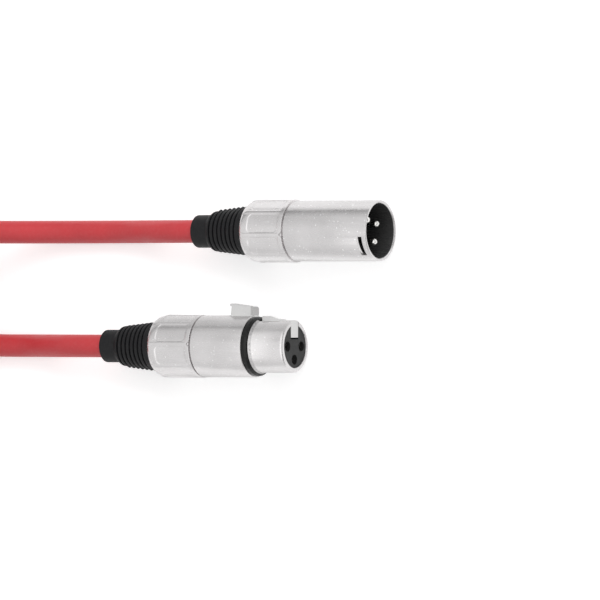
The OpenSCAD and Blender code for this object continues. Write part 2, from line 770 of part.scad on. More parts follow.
module cord_coil() {
    color("firebrick") tube(concat([coil_start], coil_turned, [coil_end]), jacket_r, coil_sides,
        coil_start_way, coil_end_way);
}

// A hook-and-loop strap round all the turns, its tail lying on its top
module coil_strap() {
    bow = coil_in_r - sqrt(pow(coil_in_r, 2) - pow(strap_w / 2, 2));
    inside = coil_in_r - jacket_r - bow - strap_gap;
    outside = coil_out_r + jacket_r + strap_gap;
    tall = cord_d + (coil_layers - 1) * turn_pitch + 2 * strap_gap;
    wide = outside - inside;
    corner = 2.5;
    tail_len = wide * 0.6;
    tail_t = strap_t * 0.7;
    color("dimgray") translate([coil_x, 0, 0]) rotate([0, 0, strap_angle])
        translate([inside + wide / 2, 0, 0]) rotate([90, 0, 0])
        linear_extrude(height = strap_w, center = true) {
            difference() {
                rounded_plate(wide + 2 * strap_t, tall + 2 * strap_t, corner + strap_t);
                translate([0, strap_t]) rounded_plate(wide, tall, corner);
            }
            translate([-tail_len / 2, tall + 2 * strap_t]) square([tail_len, tail_t]);
        }
}

// ---- nodes ----

male_shell();
male_insert();
male_contact(1);  // male_contact_1
male_contact(2);  // male_contact_2
male_contact(3);  // male_contact_3
at_male_seam() chuck(male_cups);  // male_chuck
at_male_seam() collar(male_collar_turn);  // male_collar
at_male_seam() boot();  // male_boot
at_male_seam() cable_end(male_cups);  // male_cable_end
at_male_seam() wires(male_cups);  // male_wires
female_shell();
female_gasket();
female_insert();
female_contact(1);  // female_contact_1
female_contact(2);  // female_contact_2
female_contact(3);  // female_contact_3
latch_lever();
latch_pin();
latch_spring();
at_female_seam() chuck(female_cups);  // female_chuck
at_female_seam() collar(female_collar_turn);  // female_collar
at_female_seam() boot();  // female_boot
at_female_seam() cable_end(female_cups);  // female_cable_end
at_female_seam() wires(female_cups);  // female_wires
female_lead();
cord_coil();
male_lead();
coil_strap();
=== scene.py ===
"""A microphone cable: two three-pin plugs and the red cord between them, wound up and strapped."""

import math

import bmesh
import bpy
import numpy as np
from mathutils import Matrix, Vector


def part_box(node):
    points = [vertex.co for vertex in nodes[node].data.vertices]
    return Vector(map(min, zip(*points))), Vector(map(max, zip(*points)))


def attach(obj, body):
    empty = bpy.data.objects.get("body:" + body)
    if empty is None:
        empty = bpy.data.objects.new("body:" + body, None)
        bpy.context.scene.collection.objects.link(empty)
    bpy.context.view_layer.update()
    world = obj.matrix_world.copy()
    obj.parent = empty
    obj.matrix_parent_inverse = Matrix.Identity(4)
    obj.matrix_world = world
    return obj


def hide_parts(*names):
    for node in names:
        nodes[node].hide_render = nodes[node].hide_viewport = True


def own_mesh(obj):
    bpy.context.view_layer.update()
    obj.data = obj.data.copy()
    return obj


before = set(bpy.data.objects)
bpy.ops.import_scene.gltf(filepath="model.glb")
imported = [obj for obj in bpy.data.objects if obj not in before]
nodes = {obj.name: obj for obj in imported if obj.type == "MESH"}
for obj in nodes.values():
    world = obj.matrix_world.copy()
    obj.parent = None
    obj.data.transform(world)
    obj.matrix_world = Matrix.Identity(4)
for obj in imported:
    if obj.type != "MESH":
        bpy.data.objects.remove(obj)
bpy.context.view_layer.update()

# ---- Table, lamps and camera ----
# The cable lies on a white table top and is looked at from above its mating ends through a long lens.
# One wide soft lamp hangs over its far side, and white walls all round fill in the rest.
view_tilt = math.radians(31)
view_target = np.array([0.0203, -0.0034, 0.0096])
view_distance = 3.0
view_width = 0.1818
sensor_width = 36
lamp_size = 0.7
lamp_watts = 5.2
lamp_place = (0.36, 0.72, 0.66)
white = (1, 1, 1, 1)

toward_camera = np.array([math.sin(view_tilt), 0, math.cos(view_tilt)])
camera_data = bpy.data.cameras.new("camera")
camera_data.type = "PERSP"
camera_data.sensor_width = sensor_width
camera_data.lens = sensor_width * view_distance / view_width
camera = bpy.data.objects.new("camera", camera_data)
camera.location = view_target + view_distance * toward_camera
camera.rotation_euler = (0, view_tilt, 0)
bpy.context.scene.collection.objects.link(camera)
bpy.context.scene.camera = camera
bpy.context.scene.view_settings.view_transform = "Standard"

lamp_data = bpy.data.lights.new("ceiling_lamp", "AREA")
lamp_data.size = lamp_size
lamp_data.energy = lamp_watts
lamp = bpy.data.objects.new("ceiling_lamp", lamp_data)
lamp.location = lamp_place
lamp.rotation_euler = (Vector(view_target) - lamp.location).to_track_quat("-Z", "Y").to_euler()
lamp.visible_glossy = False
bpy.context.scene.collection.objects.link(lamp)


def shader_node(tree, kind, **settings):
    """A new node of that kind, with its own settings and the defaults of its named inputs."""
    node = tree.nodes.new("ShaderNode" + kind)
    for name, value in settings.items():
        label = name.replace("_", " ")
        if label in node.inputs:
            node.inputs[label].default_value = value
        else:
            setattr(node, name, value)
    return node


def feed(tree, slot, value):
    """Gives an input a fixed value, or links it to an output."""
    if isinstance(value, bpy.types.NodeSocket):
        tree.links.new(value, slot)
    else:
        slot.default_value = value


def spread(tree, value, low, high, start=0, end=1):
    """The value, carried from the range start to end over to the range low to high, and held inside it."""
    node = shader_node(tree, "MapRange")
    for label, limit in (("From Min", start), ("From Max", end), ("To Min", low), ("To Max", high)):
        node.inputs[label].default_value = limit
    feed(tree, node.inputs["Value"], value)
    return node.outputs["Result"]


def combine(tree, operation, first, second):
    """Two values, or a value and a number, put together by one operation."""
    node = shader_node(tree, "Math", operation=operation)
    feed(tree, node.inputs[0], first)
    feed(tree, node.inputs[1], second)
    return node.outputs["Value"]


def multiplied(tree, first, *others):
    """All the values multiplied together."""
    for other in others:
        first = combine(tree, "MULTIPLY", first, other)
    return first


def picked(tree, share, first, second):
    """The first value where the share is 0, and the second where it is 1."""
    node = shader_node(tree, "Mix", data_type="FLOAT")
    for slot, value in ((0, share), (2, first), (3, second)):
        feed(tree, node.inputs[slot], value)
    return node.outputs[0]


def split(tree, vector):
    """The parts X, Y and Z of a vector."""
    node = shader_node(tree, "SeparateXYZ")
    feed(tree, node.inputs[0], vector)
    return node.outputs


# The walls give an even white light. Plated metal mirrors more than that: the far wall is greyer, all the
# walls are greyer at their foot, and in front of the plugs a bright panel hangs overhead with a dark gap
# below it. Each band has an axis, its values before and after, and where it starts and ends on that axis.
wall_light = 0.74
mirrored_light = 0.88
far_side_loss = 0.12
foot_loss = 0.10
far_foot_loss = 0.38
panel_light = 0.45
gap_loss = 0.48
wall_bands = (
    ("Y", 0, 1, 0.1, 0.5), ("Z", 1, 0, 0.1, 0.42), ("X", 0, 1, -0.4, -0.1),
    ("Z", 0, 1, 0.45, 0.7), ("X", 0, 1, 0.2, 0.6), ("Z", 1, 0, 0.35, 0.65),
)
world = bpy.data.worlds.new("white_walls")
bpy.context.scene.world = world
world.use_nodes = True
tree = world.node_tree
tree.nodes.clear()
way = split(tree, shader_node(tree, "TexCoord").outputs["Generated"])
bands = [spread(tree, way[axis], *ranges) for axis, *ranges in wall_bands]
for band in bands:
    band.node.interpolation_type = "SMOOTHSTEP"
far, foot, front, overhead, ahead, below = bands
foot_depth = combine(tree, "ADD", multiplied(tree, far, far_foot_loss), foot_loss)
level = combine(tree, "SUBTRACT", mirrored_light, multiplied(tree, far, far_side_loss))
level = combine(tree, "SUBTRACT", level, multiplied(tree, foot, foot_depth))
level = combine(tree, "ADD", level, multiplied(tree, front, overhead, panel_light))
gap = multiplied(tree, ahead, below, gap_loss, combine(tree, "SUBTRACT", 1, far))
level = combine(tree, "SUBTRACT", level, gap)
rays = shader_node(tree, "LightPath").outputs
strength = picked(tree, rays["Is Camera Ray"], picked(tree, rays["Is Glossy Ray"], wall_light, level), 1)
walls = shader_node(tree, "Background", Color=white)
feed(tree, walls.inputs["Strength"], strength)
tree.links.new(walls.outputs[0], shader_node(tree, "OutputWorld").inputs["Surface"])


def stage_sheet(name, corners):
    """A flat sheet for the stage, and the empty node tree of its own material."""
    mesh = bpy.data.meshes.new(name)
    mesh.from_pydata(corners, [], [(0, 1, 2, 3)])
    sheet = bpy.data.objects.new(name, mesh)
    bpy.context.scene.collection.objects.link(sheet)
    material = bpy.data.materials.new(name)
    material.use_nodes = True
    material.node_tree.nodes.clear()
    mesh.materials.append(material)
    return sheet, material.node_tree


# The table top is matt white. Where it is seen or mirrored, it glows a little, so that it looks as white as
# the walls.
floor_half = 4.0
floor_color = (0.86, 0.86, 0.86, 1)
floor_glow = 0.45
mirrored_glow = 0.24
floor, tree = stage_sheet(
    "table_top", [(x * floor_half, y * floor_half, 0) for x, y in ((-1, -1), (1, -1), (1, 1), (-1, 1))]
)
rays = shader_node(tree, "LightPath").outputs
seen_glow = multiplied(tree, rays["Is Camera Ray"], floor_glow)
strength = combine(tree, "ADD", seen_glow, multiplied(tree, rays["Is Glossy Ray"], mirrored_glow))
matt = shader_node(tree, "BsdfDiffuse", Color=floor_color)
glow = shader_node(tree, "Emission", Color=white)
feed(tree, glow.inputs["Strength"], strength)
both = shader_node(tree, "AddShader")
tree.links.new(matt.outputs[0], both.inputs[0])
tree.links.new(glow.outputs[0], both.inputs[1])
tree.links.new(both.outputs[0], shader_node(tree, "OutputMaterial").inputs["Surface"])

# A low white card stands between the plugs, so that they mirror a clear table and not each other. It glows
# and shows only in reflections in the metal; it lights nothing and casts no shadow. Its glow is a little
# weaker at its top and brighter on the male plug's side.
card_top = 0.0185
card_front = 0.06
card_rear = -0.095
card_light = 0.87
card_top_light = 0.64
card_fade = (0.005, 0.015)
card_male_gain = 1.28
card, tree = stage_sheet(
    "glowing_reflection_card",
    [(card_rear, 0, 0), (card_front, 0, 0), (card_front, 0, card_top), (card_rear, 0, card_top)],
)
height = split(tree, shader_node(tree, "TexCoord").outputs["Object"])["Z"]
card_level = spread(tree, height, card_light, card_top_light, *card_fade)
side_gain = spread(tree, shader_node(tree, "NewGeometry").outputs["Backfacing"], 1, card_male_gain)
glow = shader_node(tree, "Emission", Color=white)
feed(tree, glow.inputs["Strength"], multiplied(tree, card_level, side_gain))
tree.links.new(glow.outputs[0], shader_node(tree, "OutputMaterial").inputs["Surface"])
card.visible_camera = False
card.visible_diffuse = False
card.visible_shadow = False
card.visible_transmission = False

# ---- Cord ----
# One length of round cable with a soft red jacket runs from the female plug to the male plug. Both ends
# lie free behind the plugs, and the rest is wound into a coil of four layers, six loops in all.
mm = 0.001
cord_d = 7 * mm
cord_sides = 28
cord_steps = 4
female_route = [
    (-48.7, -17.5, 9.6), (-54.7, -17.5, 9.6), (-62.7, -17.5, 8.9), (-70.7, -17.5, 6.6), (-78.7, -17.5, 4.3),
    (-86.7, -17.5, 3.5), (-95.5, -17.5, 3.5), (-101.5, -18.4, 3.5), (-108, -21, 3.5),
]
male_route = [
    (-15.9, 17.5, 9.6), (-20.3, 17.5, 9.6), (-27.3, 17.5, 8.9), (-35.3, 17.5, 6.4), (-43.3, 17.5, 4.2),
    (-50.3, 17.5, 3.5), (-59.3, 17.5, 3.5), (-66.5, 17.5, 4), (-73.5, 17.5, 5.7), (-80.5, 17.5, 8.9),
    (-88, 17.5, 14.5), (-94.5, 17.5, 19.7), (-101.5, 18.4, 23.3), (-108, 21, 25.4),
]
coil_x = -146 * mm
coil_d = 70 * mm
coil_open = 48
coil_loops = 6
coil_layers = 4
coil_rings = 24
turn_pitch = 7.5 * mm
coil_angle = 360 * coil_loops - 2 * coil_open
layer_angle = coil_angle / coil_layers
layer_spread = turn_pitch * layer_angle / 360
coil_out_r = (coil_d + layer_spread) / 2
climb_angle = 180
strap_angle = 135
strap_t = 1.1 * mm
strap_gap = 0.3 * mm
lift_full = 16
lift_end = 50
noise_span = (0.3, 0.7)


def ramp(share):
    """Goes smoothly from 0 to 1, as half a cosine wave, while the share goes from 0 to 1."""
    return (1 - np.cos(np.pi * np.clip(share, 0, 1))) / 2


def coil_points(turned):
    """The coil's centreline after it has wound through each angle: in along one layer, out along the next."""
    layer = np.minimum(turned // layer_angle, coil_layers - 1)
    share = turned / layer_angle - layer
    share = np.where(layer % 2 == 0, share, 1 - share)
    radius = coil_out_r - layer_spread * share
    climbs = np.arange(1, coil_layers)[:, None] * layer_angle
    height = turn_pitch * ramp((turned - climbs) / climb_angle + 0.5).sum(0)
    angle = -coil_open - turned
    off = np.abs((angle - strap_angle) % 360 - 180)
    lift = (strap_t + strap_gap) * ramp((lift_end - (180 - off)) / (lift_end - lift_full))
    a = np.radians(angle)
    return np.stack([coil_x + radius * np.cos(a), radius * np.sin(a), cord_d / 2 + height + lift], 1)


def smooth(points, steps):
    """Catmull-Rom curve through the points, with that many pieces from each point to the next."""
    p = np.vstack([2 * points[0] - points[1], points, 2 * points[-1] - points[-2]])
    t = (np.arange(steps) / steps)[None, :, None]
    a, b, c, d = (p[i : len(p) - 3 + i, None] for i in range(4))
    curve = 0.5 * (2 * b + (c - a) * t + (2 * a - 5 * b + 4 * c - d) * t**2 + (3 * b - a - 3 * c + d) * t**3)
    return np.vstack([curve.reshape(-1, 3), points[-1]])


def new_piece(name, points, faces):
    """A smooth-shaded object at the origin, from an array of points and a list of faces."""
    mesh = bpy.data.meshes.new(name)
    mesh.from_pydata(points.reshape(-1, 3), [], faces)
    mesh.shade_smooth()
    piece = bpy.data.objects.new(name, mesh)
    bpy.context.scene.collection.objects.link(piece)
    return piece


def grid_faces(rows, columns, ring=False):
    """Four-sided faces between a grid's rows, its columns run round; ring joins the last row to the first."""
    index = np.arange(rows * columns).reshape(rows, columns)
    here = index if ring else index[:-1]
    there = np.roll(index, -1, 0) if ring else index[1:]
    corners = [here, np.roll(here, -1, 1), np.roll(there, -1, 1), there]
    return np.stack(corners, -1).reshape(-1, 4).tolist()


def end_faces(rows, columns):
    """The two faces that close such a grid at its first and its last row."""
    return [list(range(columns))[::-1], list(range((rows - 1) * columns, rows * columns))]


def even_angles(columns):
    """That many angles, evenly spaced over the circle."""
    return 2 * np.pi * np.arange(columns) / columns


def unit(vectors):
    """Each row divided by its length."""
    return vectors / np.linalg.norm(vectors, axis=1)[:, None]


def swept(path, side, radius, sides):
    """Round tube: at each point of the path a circle, spanned by its side and the way square to that."""
    up = np.cross(unit(np.gradient(path, axis=0)), side)
    a = even_angles(sides)
    return path[:, None] + radius * (np.cos(a)[:, None] * side[:, None] + np.sin(a)[:, None] * up[:, None])


def keep_lay(piece, across, line):
    """Keeps a swept piece's unrolled place as the attribute lay: two ways across, and along its line."""
    lay = np.empty((len(line), len(across), 3))
    lay[..., :2] = across
    lay[1:, :, 2] = np.cumsum(np.linalg.norm(np.diff(line, axis=0), axis=1))[:, None]
    lay[0, :, 2] = 0
    piece.data.attributes.new("lay", "FLOAT_VECTOR", "POINT").data.foreach_set("vector", lay.ravel())


def add_tube(name, path, radius, sides):
    """Closed tube along a path that is nowhere upright, with its unrolled place."""
    side = unit(np.cross([0, 0, 1], unit(np.gradient(path, axis=0))))
    points = swept(path, side, radius, sides)
    piece = new_piece(name, points, grid_faces(len(path), sides) + end_faces(len(path), sides))
    a = even_angles(sides)
    keep_lay(piece, radius * np.stack([np.cos(a), np.sin(a)], 1), path)
    return piece


turned = np.linspace(0, coil_angle, round(coil_angle * coil_rings / 360) + 1)
coil = coil_points(turned)
open_angle = math.radians(coil_open)
coil_start = coil[0] + cord_d * np.array([math.sin(open_angle), math.cos(open_angle), 0])
coil_end = coil[-1] + cord_d * np.array([math.sin(open_angle), -math.cos(open_angle), 0])
cord_points = np.vstack(
    [mm * np.array(female_route), coil_start, coil, coil_end, mm * np.array(male_route)[::-1]]
)
cord_path = smooth(cord_points, cord_steps)
cord = add_tube("red_cord", cord_path, cord_d / 2, cord_sides)


def new_group(name, inputs, outputs):
    """An empty shader node group with named sockets, its input sockets and its output sockets."""
    group = bpy.data.node_groups.new(name, "ShaderNodeTree")
    for label, kind, start in inputs:
        socket = group.interface.new_socket(label, in_out="INPUT", socket_type="NodeSocket" + kind)
        socket.default_value = start
    for label, kind in outputs:
        group.interface.new_socket(label, in_out="OUTPUT", socket_type="NodeSocket" + kind)
    return group, group.nodes.new("NodeGroupInput").outputs, group.nodes.new("NodeGroupOutput").inputs


def fine_noise(tree, vector, scale, detail=2):
    """Noise over the vector, with that many waves a metre. Most of it lies within the noise span."""
    node = shader_node(tree, "TexNoise", Scale=scale, Detail=detail)
    feed(tree, node.inputs["Vector"], vector)
    return node.outputs["Fac"]


def blend_colors(tree, share, first, second, kind="MIX"):
    """Two colours mixed by a share."""
    node = shader_node(tree, "Mix", data_type="RGBA", blend_type=kind)
    for slot, value in ((0, share), (6, first), (7, second)):
        feed(tree, node.inputs[slot], value)
    return node.outputs[2]


# Moulded rubber and plastic: a fine grain in the skin, a slow unevenness and a trace of pale dust.
moulded, given, results = new_group(
    "moulded_skin",
    [
        ("Vector", "Vector", (0, 0, 0)), ("Color", "Color", (0.5, 0.5, 0.5, 1)),
        ("Dust Color", "Color", (0.3, 0.3, 0.3, 1)), ("Dust", "Float", 0.1), ("Patches", "Float", 0.1),
        ("Roughness", "Float", 0.5), ("Grain", "Float", 3000),
    ],
    [("Color", "Color"), ("Roughness", "Float"), ("Height", "Float")],
)
grain = fine_noise(moulded, given["Vector"], 3000, 3)
feed(moulded, grain.node.inputs["Scale"], given["Grain"])
cloud = fine_noise(moulded, given["Vector"], 160)
motes = fine_noise(moulded, given["Vector"], 900, 4)
dusty = multiplied(moulded, spread(moulded, motes, 0, 1, 0.45, 0.75), given["Dust"])
patches = multiplied(moulded, spread(moulded, cloud, -1, 1, *noise_span), given["Patches"])
shade = blend_colors(moulded, 1, given["Color"], combine(moulded, "ADD", patches, 1), "MULTIPLY")
feed(moulded, results["Color"], blend_colors(moulded, dusty, shade, given["Dust Color"]))
rough = combine(moulded, "ADD", given["Roughness"], spread(moulded, cloud, -0.05, 0.05, *noise_span))
rough = combine(moulded, "ADD", rough, spread(moulded, grain, -0.06, 0.06, *noise_span))
feed(moulded, results["Roughness"], rough)
feed(moulded, results["Height"], combine(moulded, "ADD", grain, multiplied(moulded, cloud, 1.5)))


def finish_material(name, group, settings, depth, source="Object", **shader_settings):
    """A material with colour, roughness and bump from a group, by object coordinates or an attribute."""
    material = bpy.data.materials.new(name)
    material.use_nodes = True
    tree = material.node_tree
    skin = tree.nodes["Principled BSDF"]
    for label, value in shader_settings.items():
        skin.inputs[label.replace("_", " ")].default_value = value
    finish = tree.nodes.new("ShaderNodeGroup")
    finish.node_tree = group
    for label, value in settings.items():
        finish.inputs[label].default_value = value
    if source == "Object":
        place = shader_node(tree, "TexCoord").outputs["Object"]
    else:
        place = shader_node(tree, "Attribute", attribute_name=source).outputs["Vector"]
    feed(tree, finish.inputs["Vector"], place)
    bump = shader_node(tree, "Bump", Strength=1.0, Distance=depth)
    feed(tree, bump.inputs["Height"], finish.outputs["Height"])
    feed(tree, skin.inputs["Normal"], bump.outputs["Normal"])
    feed(tree, skin.inputs["Base Color"], finish.outputs["Color"])
    feed(tree, skin.inputs["Roughness"], finish.outputs["Roughness"])
    return material


def paint(piece, material):
    """Gives a piece one material in place of what it had."""
    piece.data.materials.clear()
    piece.data.materials.append(material)


red_skin = {
    "Color": (0.525, 0.034, 0.042, 1), "Dust Color": (0.60, 0.17, 0.17, 1), "Dust": 0.08, "Patches": 0.03,
    "Roughness": 0.42, "Grain": 2600,
}
red_depth = 0.01 * mm
jacket_red = finish_material("red_jacket", moulded, red_skin, red_depth, "lay")
paint(cord, jacket_red)
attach(cord, "cable")
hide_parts("female_lead", "cord_coil", "male_lead")

# ---- Strap ----
# A hook-and-loop strap is pulled round all the turns and pressed back on itself. It is black woven
# nylon with a pile of small loops outside, and both its edges are sewn over.
strap_w = 16 * mm
strap_in = coil_out_r - layer_spread
strap_bow = strap_in - math.sqrt(strap_in**2 - (strap_w / 2) ** 2)
strap_near = strap_in - cord_d / 2 - strap_bow - strap_gap - strap_t / 2
strap_low = strap_t / 2
strap_high = strap_t * 1.5 + cord_d + (coil_layers - 1) * turn_pitch + 2 * strap_gap

# Its outer side lies against the lowest, the third and the last turn, which stand out furthest there.
outer_turns = [0, 2, 5]
strap_turns = coil_points((-coil_open - strap_angle) % 360 + 360 * np.arange(coil_loops))[outer_turns]
turn_reach = np.hypot(strap_turns[:, 0] - coil_x, strap_turns[:, 1]) + cord_d / 2 + strap_gap + strap_t / 2
turn_height = strap_turns[:, 2]
strap_lean = (turn_reach[2] - turn_reach[1]) / (turn_height[2] - turn_height[1])
strap_far = turn_reach[1] + strap_lean * (strap_high - turn_height[1])
strap_corner = 3 * mm
corner_steps = 9
strap_step = 0.8 * mm
strap_columns = 33
tail_t = 0.7 * strap_t
tail_len = 0.6 * (strap_far - strap_near)
tail_rows = 40
strap_angle_rad = math.radians(strap_angle)
strap_out = np.array([math.cos(strap_angle_rad), math.sin(strap_angle_rad), 0])
strap_side = np.array([-strap_out[1], strap_out[0], 0])
strap_up = np.array([0, 0, 1.0])
hem_w = 1.6 * mm
hem_rise = 0.12 * mm
rim_share = 0.35


def rounded_outline(corners, radius, steps):
    """Points round a closed outline with each corner cut by a parabola that meets both its sides."""
    corners = np.array(corners, float)
    start = corners + unit(np.roll(corners, 1, 0) - corners) * radius
    end = corners + unit(np.roll(corners, -1, 0) - corners) * radius
    t = np.linspace(0, 1, steps)[None, :, None]
    curve = (1 - t) ** 2 * start[:, None] + 2 * t * (1 - t) * corners[:, None] + t**2 * end[:, None]
    return curve.reshape(-1, corners.shape[1])


def filled(points, step):
    """The same closed outline with points added along its sides, none further apart than the step."""
    ends = np.roll(points, -1, 0)
    counts = np.maximum(1, np.ceil(np.linalg.norm(ends - points, axis=1) / step)).astype(int)
    which = np.repeat(np.arange(len(points)), counts)
    share = (np.arange(len(which)) - np.repeat(np.cumsum(counts) - counts, counts)) / counts[which]
    return points[which] + share[:, None] * (ends - points)[which]


def ribbon_section(thick):
    """Outline of the strap cut across: [sideways, outwards], with round edges and a raised hem along both."""
    w = np.linspace(-strap_w / 2, strap_w / 2, strap_columns)
    inset = strap_w / 2 - np.abs(w)
    hem = hem_rise * ramp((hem_w - inset) / (hem_w / 2)) * ramp(inset / (hem_w / 4))
    rim = np.clip(1 - inset / (thick / 2), 0, 1)
    half = thick / 2 * (rim_share + (1 - rim_share) * np.sqrt(1 - rim**2))
    return np.vstack([np.stack([w, half - hem_rise + hem], 1), np.stack([w, -half], 1)[::-1]])


def turn_outward(piece):
    """Turns the faces of a closed piece so that they all look outwards."""
    bm = bmesh.new()
    bm.from_mesh(piece.data)
    bmesh.ops.recalc_face_normals(bm, faces=bm.faces)
    bm.to_mesh(piece.data)
    bm.free()


def add_ribbon(name, line, outwards, section, closed):
    """The strap's section carried along a line of [out from the coil, up], with its unrolled place."""
    centre = np.array([coil_x, 0, 0]) + line[:, :1] * strap_out + line[:, 1:] * strap_up
    away = outwards[:, :1] * strap_out + outwards[:, 1:] * strap_up
    points = centre[:, None] + section[None, :, :1] * strap_side + section[None, :, 1:] * away[:, None]
    ends = [] if closed else end_faces(len(line), len(section))
    piece = new_piece(name, points, grid_faces(len(line), len(section), closed) + ends)
    keep_lay(piece, section, line)
    turn_outward(piece)
    return piece


def line_normals(line):
    """Unit normals of a closed line in its plane, a quarter turn clockwise from the way it runs."""
    way = unit(np.roll(line, -1, 0) - np.roll(line, 1, 0))
    return np.stack([way[:, 1], -way[:, 0]], 1)


strap_corners = [
    (strap_near, strap_low), (turn_reach[0], strap_low), (turn_reach[1], turn_height[1]),
    (strap_far, strap_high), (strap_near, strap_high),
]
strap_line = filled(rounded_outline(strap_corners, strap_corner, corner_steps), strap_step)
strap = add_ribbon("strap_loop", strap_line, line_normals(strap_line), ribbon_section(strap_t), True)
tail_middle = (strap_near + strap_far) / 2
tail_x = np.linspace(tail_middle + tail_len / 2, tail_middle - tail_len / 2, tail_rows)
tail_line = np.stack([tail_x, np.full(tail_rows, strap_high + (strap_t + tail_t) / 2)], 1)
tail_outwards = np.tile([0.0, 1.0], (tail_rows, 1))
tail = add_ribbon("strap_tail", tail_line, tail_outwards, ribbon_section(tail_t), False)

# Woven nylon: threads over and under each other, with a loose pile. The colour carries painted shade in the
# weave's hollows and painted highlight on its raised threads and on the raised pile.
full_turn = 6.28
woven, given, results = new_group(
    "woven_pile",
    [
        ("Vector", "Vector", (0, 0, 0)), ("Color", "Color", (0.02, 0.02, 0.02, 1)),
        ("Lint Color", "Color", (0.2, 0.2, 0.2, 1)), ("Threads", "Float", 1400), ("Roughness", "Float", 0.9),
    ],
    [("Color", "Color"), ("Roughness", "Float"), ("Height", "Float")],
)
lay = split(woven, given["Vector"])
warp, weft = (
    combine(woven, "SINE", multiplied(woven, lay[axis], given["Threads"], full_turn), 0) for axis in "XZ"
)
weave = spread(woven, multiplied(woven, warp, weft), 0, 1, -1, 1)
pile = fine_noise(woven, given["Vector"], 2200, 5)
feed(woven, results["Height"], combine(woven, "ADD", weave, multiplied(woven, pile, 2.5)))
# Painted highlight: the raised pile is coloured lighter.
pile_highlight = spread(woven, pile, 0, 0.5, 0.5, 0.8)
# Painted shade and highlight: the weave darkens the colour in its hollows and lightens it on its raised
# threads.
shade = blend_colors(woven, 1, given["Color"], spread(woven, weave, 0.6, 1.3), "MULTIPLY")
feed(woven, results["Color"], blend_colors(woven, pile_highlight, shade, given["Lint Color"]))
smoother = spread(woven, pile, 0, 0.15, 0.4, 0.7)
feed(woven, results["Roughness"], combine(woven, "SUBTRACT", given["Roughness"], smoother))
strap_skin = {
    "Color": (0.022, 0.022, 0.024, 1), "Lint Color": (0.10, 0.10, 0.105, 1), "Threads": 900,
    "Roughness": 0.92,
}
strap_black = finish_material(
    "strap_fabric", woven, strap_skin, 0.12 * mm, "lay", Sheen_Weight=0.25, Sheen_Roughness=0.4
)
for piece in (strap, tail):
    paint(piece, strap_black)
    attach(piece, "cable")
    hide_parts("coil_strap")

# ---- Shells ----
# Each plug's front is a zinc casting with a satin nickel plate. The male shell is a tube with a slot for
# the latch hook, and its socket is coloured black as painted shade. The female shell steps down to a nose
# with a bead.
male_low, male_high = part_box("male_shell")
female_low, female_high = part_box("female_shell")
axis_height = (male_low.z + male_high.z) / 2
male_y = (male_low.y + male_high.y) / 2
female_y = (female_low.y + female_high.y) / 2
male_seam = male_low.x
female_seam = female_low.x

# Satin nickel over a casting: faint streaks run along the plug, and over them lie a fine frost, painted
# glints and slow changes in how matt it is. The glints are painted highlight: white specks in the plate's
# colour, each on a small raised bump that is a little smoother.
plated, given, results = new_group(
    "satin_plate",
    [
        ("Vector", "Vector", (0, 0, 0)), ("Streaks", "Vector", (90, 1100, 1100)),
        ("Color", "Color", (0.7, 0.7, 0.7, 1)), ("Glint Color", "Color", white),
        ("Glints", "Float", 0.5), ("Roughness", "Float", 0.3),
    ],
    [("Color", "Color"), ("Roughness", "Float"), ("Height", "Float")],
)
stretched = shader_node(plated, "VectorMath", operation="MULTIPLY")
feed(plated, stretched.inputs[0], given["Vector"])
feed(plated, stretched.inputs[1], given["Streaks"])
streaks = fine_noise(plated, stretched.outputs[0], 1.0, 3)
frost = fine_noise(plated, given["Vector"], 3800, 3)
cloud = fine_noise(plated, given["Vector"], 130, 3)
# Painted highlight: sparse cells paint white glint specks into the colour.
glint_cells = shader_node(plated, "TexVoronoi", Scale=950)
feed(plated, glint_cells.inputs["Vector"], given["Vector"])
chosen = split(plated, glint_cells.outputs["Color"])
reach = combine(plated, "ADD", glint_cells.outputs["Distance"], spread(plated, chosen["Y"], 0, 0.1))
bright = spread(plated, reach, 1, 0, 0.17, 0.26)
glints = multiplied(plated, bright, spread(plated, chosen["X"], 0, 1, 0.45, 0.6), given["Glints"])
cloud_shade = spread(plated, cloud, 0.95, 1.05, *noise_span)
frost_shade = spread(plated, frost, 0.98, 1.02, *noise_span)
shade = blend_colors(plated, 1, given["Color"], cloud_shade, "MULTIPLY")
shade = blend_colors(plated, 1, shade, frost_shade, "MULTIPLY")
feed(plated, results["Color"], blend_colors(plated, glints, shade, given["Glint Color"]))
rough = combine(plated, "ADD", given["Roughness"], spread(plated, streaks, -0.04, 0.04, *noise_span))
rough = combine(plated, "ADD", rough, spread(plated, cloud, -0.03, 0.03, *noise_span))
feed(plated, results["Roughness"], combine(plated, "SUBTRACT", rough, multiplied(plated, glints, 0.1)))
height = combine(plated, "ADD", multiplied(plated, streaks, 2.5), multiplied(plated, frost, 0.4))
feed(plated, results["Height"], combine(plated, "ADD", height, multiplied(plated, glints, 2)))

nickel = {"Color": (0.73, 0.713, 0.715, 1), "Glints": 0.6, "Roughness": 0.27}
nickel_depth = 0.006 * mm
satin_nickel = finish_material("satin_nickel", plated, nickel, nickel_depth, Metallic=1.0)
shell_nickel = finish_material("shell_nickel", plated, nickel, nickel_depth, Metallic=1.0)

join_gap = 0.001 * mm
flat_angle = math.radians(0.5)
sharp_angle = math.radians(25)
shell_edge = 0.25 * mm


